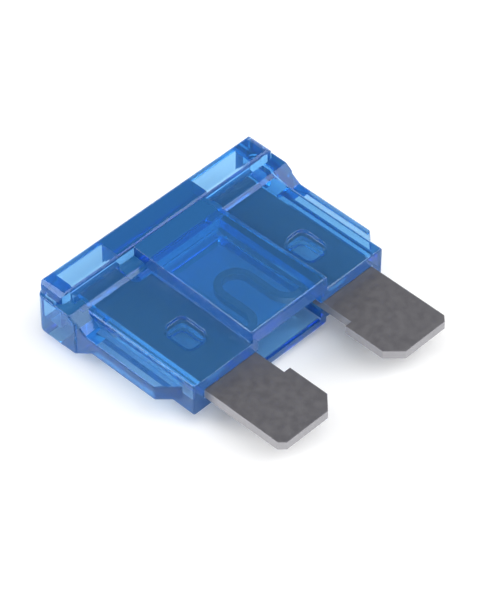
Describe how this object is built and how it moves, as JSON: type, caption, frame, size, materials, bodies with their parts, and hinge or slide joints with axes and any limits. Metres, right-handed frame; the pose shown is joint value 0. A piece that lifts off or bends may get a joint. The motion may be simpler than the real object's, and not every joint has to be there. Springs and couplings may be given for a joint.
{
  "type": "automotive blade fuse",
  "caption": "Regular blade fuse: a flat, tinted transparent housing with a thick head and side ears, closed round a stamped element with two plug-in blades and a looped fusible link.",
  "frame": {"origin": "under the middle of the fuse's outline, on the surface that it lies on", "axes": "+X across the two blades, +Y from the blade tips to the head, +Z out of the front face"},
  "size_m": [0.019, 0.0186, 0.0047],
  "materials": {
    "housing": "glossy transparent blue polycarbonate",
    "fuse_element": "dull bare zinc alloy with faint mottling"
  },
  "bodies": {
    "root": {"housing": "housing", "fuse_element": "fuse_element"}
  },
  "joints": []
}
